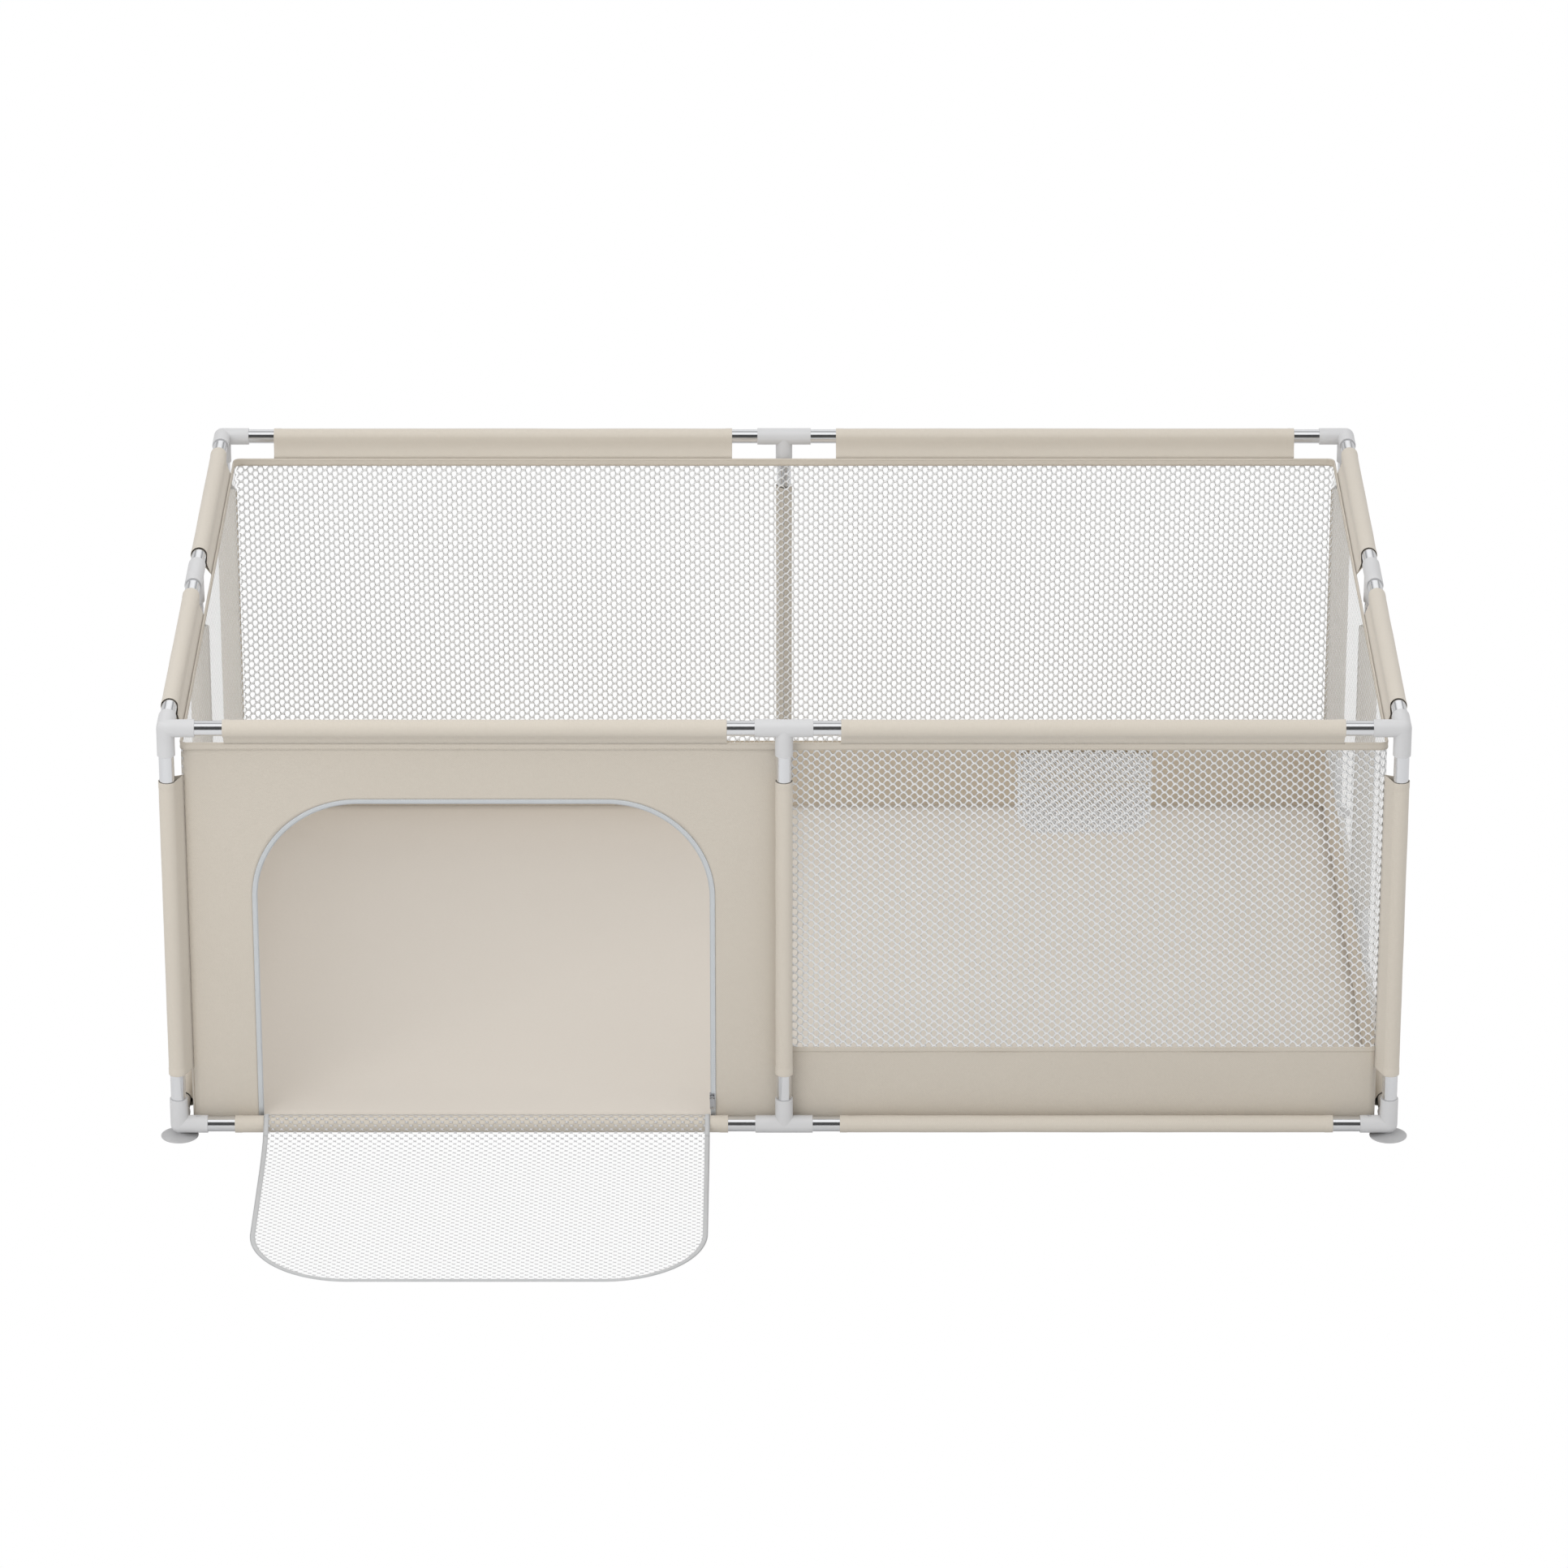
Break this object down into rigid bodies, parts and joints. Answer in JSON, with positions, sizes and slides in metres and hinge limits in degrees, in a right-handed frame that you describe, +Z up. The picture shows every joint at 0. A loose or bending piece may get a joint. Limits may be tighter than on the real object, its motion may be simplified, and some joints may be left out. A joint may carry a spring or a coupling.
{
  "type": "playpen",
  "caption": "Rectangular indoor playpen with a steel tube frame, moulded corner and tee fittings, net and cloth walls, suction feet, and an arched zip door folded out.",
  "frame": {"origin": "on the floor, under the middle of the whole object's box, door laid out in front included", "axes": "+X to the right along the long side, +Y to the back, +Z up; the doorway is at the front left"},
  "size_m": [1.829, 1.6678, 0.663],
  "materials": {
    "fitting_plastic": "satin moulded, light grey",
    "tube_steel": "polished",
    "foot_rubber": "matt grey",
    "panel_cloth": "fine woven beige, lightly coated",
    "sleeve_cloth": "fine woven beige",
    "wall_net": "white knitted net",
    "door_net": "fine white knitted net",
    "zip_tape": "woven light blue-grey tape",
    "zip_metal": "nickel"
  },
  "bodies": {
    "frame": {"back_bottom_rail_left": "tube_steel", "back_bottom_rail_right": "tube_steel", "back_bottom_tee": "fitting_plastic", "back_left_bottom_corner": "fitting_plastic", "back_left_corner_post": "tube_steel", "back_left_top_corner": "fitting_plastic", "back_mesh": "wall_net", "back_middle_post": "tube_steel", "back_right_bottom_corner": "fitting_plastic", "back_right_corner_post": "tube_steel", "back_right_top_corner": "fitting_plastic", "back_top_rail_left": "tube_steel", "back_top_rail_right": "tube_steel", "back_top_tee": "fitting_plastic", "bottom_rail_sleeves": "sleeve_cloth", "door_zipper_tape": "zip_tape", "floor_sheet": "panel_cloth", "front_bottom_rail_left": "tube_steel", "front_bottom_rail_right": "tube_steel", "front_bottom_tee": "fitting_plastic", "front_left_bottom_corner": "fitting_plastic", "front_left_corner_post": "tube_steel", "front_left_panel": "panel_cloth", "front_left_top_corner": "fitting_plastic", "front_middle_post": "tube_steel", "front_right_bottom_corner": "fitting_plastic", "front_right_corner_post": "tube_steel", "front_right_mesh": "wall_net", "front_right_top_corner": "fitting_plastic", "front_top_rail_left": "tube_steel", "front_top_rail_right": "tube_steel", "front_top_tee": "fitting_plastic", "left_bottom_rail_back": "tube_steel", "left_bottom_rail_front": "tube_steel", "left_bottom_tee": "fitting_plastic", "left_mesh": "wall_net", "left_middle_post": "tube_steel", "left_top_rail_back": "tube_steel", "left_top_rail_front": "tube_steel", "left_top_tee": "fitting_plastic", "post_sleeves": "sleeve_cloth", "right_bottom_rail_back": "tube_steel", "right_bottom_rail_front": "tube_steel", "right_bottom_tee": "fitting_plastic", "right_mesh": "wall_net", "right_middle_post": "tube_steel", "right_top_rail_back": "tube_steel", "right_top_rail_front": "tube_steel", "right_top_tee": "fitting_plastic", "suction_feet": "foot_rubber", "top_binding": "sleeve_cloth", "top_rail_sleeves": "sleeve_cloth", "toy_pocket": "wall_net", "wall_skirts": "panel_cloth"},
    "door_sill": {"door_flap_sill": "door_net"},
    "door_fold": {"door_flap_fold": "door_net"},
    "door": {"door_flap": "door_net", "door_flap_tape": "zip_tape"},
    "zip_slider": {"zip_slider": "zip_metal"},
    "zip_pull_tab": {"zip_pull_tab": "zip_metal"}
  },
  "joints": [
    {"name": "door_hinge", "type": "hinge", "parent": "frame", "child": "door_sill", "pos_m": [-0.4357, -0.34856, 0.024], "axis": [-1, 0, 0], "range_deg": [0, 59.48]},
    {"name": "door_crest_bend", "type": "hinge", "parent": "door_sill", "child": "door_fold", "pos_m": [-0.4357, -0.36756, 0.0352], "axis": [-1, 0, 0], "range_deg": [0, 60.53]},
    {"name": "door_floor_bend", "type": "hinge", "parent": "door_fold", "child": "door", "pos_m": [-0.4357, -0.4268, 0.001], "axis": [-1, 0, 0], "range_deg": [-30.01, 0]},
    {"name": "zip_slide", "type": "slide", "parent": "frame", "child": "zip_slider", "axis": [0, 0, 1], "range_m": [0, 0.3]},
    {"name": "pull_tab_hinge", "type": "hinge", "parent": "zip_slider", "child": "zip_pull_tab", "pos_m": [-0.10522, -0.35366, 0.056], "axis": [-1, 0, 0], "range_deg": [0, 150]}
  ],
  "couplings": [
    {"joint": "door_crest_bend", "follows": "door_hinge", "ratio": 1.0174},
    {"joint": "door_floor_bend", "follows": "door_hinge", "ratio": -0.50436}
  ]
}
